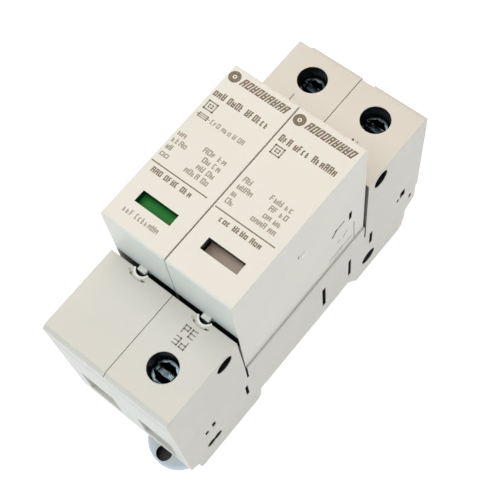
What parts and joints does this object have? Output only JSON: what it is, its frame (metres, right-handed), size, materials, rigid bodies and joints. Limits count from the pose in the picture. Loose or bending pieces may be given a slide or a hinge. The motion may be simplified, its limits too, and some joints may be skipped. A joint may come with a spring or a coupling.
{
  "type": "surge protector",
  "caption": "Two-pole DIN rail surge protector: base with clamp terminals and a spring latch foot, plug-in varistor and spark gap modules with status windows.",
  "frame": {"origin": "middle of the outline, latch foot included, on the rear plane", "axes": "+X to the right seen from the front, +Y towards the line and neutral terminals, +Z out of the front"},
  "size_m": [0.0358, 0.0938, 0.067],
  "materials": {
    "housing_plastic": "fine satin moulding",
    "cap_plastic": "fine satin moulding",
    "inner_plastic": "matt moulding",
    "foot_plastic": "satin moulding",
    "flag_green": "satin",
    "status_plate": "satin",
    "varistor_coating": "epoxy coating",
    "ceramic": "glazed ceramic",
    "steel": "zinc plated",
    "tinned_steel": "tin plated",
    "spring_steel": "drawn wire",
    "copper": "bare copper",
    "tinned_copper": "tin plated copper"
  },
  "bodies": {
    "base": {"pole_housing_left": "housing_plastic", "pole_housing_right": "housing_plastic", "pole_partition": "inner_plastic", "housing_rivet_upper": "steel", "housing_rivet_lower": "steel", "line_busbar": "copper", "neutral_busbar": "copper", "earth_busbar": "copper", "line_fork": "tinned_copper", "left_neutral_fork": "tinned_copper", "right_neutral_fork": "tinned_copper", "earth_fork": "tinned_copper", "latch_spring": "spring_steel"},
    "latch_foot": {"latch_foot": "foot_plastic"},
    "line_screw": {"line_screw": "steel"},
    "neutral_screw": {"neutral_screw": "steel"},
    "earth_screw": {"earth_screw": "steel"},
    "line_cage": {"line_clamp_cage": "tinned_steel"},
    "neutral_cage": {"neutral_clamp_cage": "tinned_steel"},
    "earth_cage": {"earth_clamp_cage": "tinned_steel"},
    "left_module": {"left_module_cap": "cap_plastic", "left_module_chassis": "inner_plastic", "left_module_line_blade": "tinned_copper", "left_module_neutral_blade": "tinned_copper", "varistor": "varistor_coating", "varistor_tab": "tinned_copper", "arm_pivot_pin": "steel", "disconnect_spring": "spring_steel"},
    "disconnect_arm": {"disconnect_arm": "copper"},
    "status_flag": {"status_flag": "flag_green"},
    "left_catch": {"left_module_catch": "cap_plastic"},
    "right_module": {"right_module_cap": "cap_plastic", "right_module_chassis": "inner_plastic", "right_module_neutral_blade": "tinned_copper", "right_module_earth_blade": "tinned_copper", "spark_gap_tube": "ceramic", "spark_gap_upper_cap": "tinned_copper", "spark_gap_lower_cap": "tinned_copper", "status_plate": "status_plate"},
    "right_catch": {"right_module_catch": "cap_plastic"}
  },
  "joints": [
    {"name": "left_module_lift", "type": "slide", "parent": "base", "child": "left_module", "axis": [0, 0, 1], "range_m": [0, 0.045]},
    {"name": "right_module_lift", "type": "slide", "parent": "base", "child": "right_module", "axis": [0, 0, 1], "range_m": [0, 0.045]},
    {"name": "line_screw_turn", "type": "hinge", "parent": "base", "child": "line_screw", "pos_m": [-0.00895, 0.0393, 0.0428], "axis": [0, 0, -1], "range_deg": [0, 2880]},
    {"name": "line_cage_lift", "type": "slide", "parent": "base", "child": "line_cage", "axis": [0, 0, 1], "range_m": [0, 0.0064]},
    {"name": "neutral_screw_turn", "type": "hinge", "parent": "base", "child": "neutral_screw", "pos_m": [0.00895, 0.0393, 0.0428], "axis": [0, 0, -1], "range_deg": [0, 2880]},
    {"name": "neutral_cage_lift", "type": "slide", "parent": "base", "child": "neutral_cage", "axis": [0, 0, 1], "range_m": [0, 0.0064]},
    {"name": "earth_screw_turn", "type": "hinge", "parent": "base", "child": "earth_screw", "pos_m": [0.00895, -0.0344, 0.0428], "axis": [0, 0, -1], "range_deg": [0, 2880]},
    {"name": "earth_cage_lift", "type": "slide", "parent": "base", "child": "earth_cage", "axis": [0, 0, 1], "range_m": [0, 0.0064]},
    {"name": "latch_foot_pull", "type": "slide", "parent": "base", "child": "latch_foot", "axis": [0, -1, 0], "range_m": [0, 0.003], "stiffness_N_per_m": 900, "deforming": ["latch_spring"]},
    {"name": "disconnect_arm_swing", "type": "hinge", "parent": "left_module", "child": "disconnect_arm", "pos_m": [-0.0135, -0.0049, 0.0445], "axis": [1, 0, 0], "range_deg": [0, 14.4], "deforming": ["disconnect_spring"]},
    {"name": "status_flag_slide", "type": "slide", "parent": "left_module", "child": "status_flag", "axis": [0, -1, 0], "range_m": [0, 0.004]},
    {"name": "left_catch_press", "type": "slide", "parent": "left_module", "child": "left_catch", "axis": [0, 1, 0], "range_m": [0, 0.0012], "stiffness_N_per_m": 600},
    {"name": "right_catch_press", "type": "slide", "parent": "right_module", "child": "right_catch", "axis": [0, 1, 0], "range_m": [0, 0.0012], "stiffness_N_per_m": 600}
  ],
  "couplings": [
    {"joint": "line_cage_lift", "follows": "line_screw_turn", "m_per_rad": 0.00012732},
    {"joint": "neutral_cage_lift", "follows": "neutral_screw_turn", "m_per_rad": 0.00012732},
    {"joint": "earth_cage_lift", "follows": "earth_screw_turn", "m_per_rad": 0.00012732},
    {"joint": "status_flag_slide", "follows": "disconnect_arm_swing", "m_per_rad": 0.01552}
  ]
}
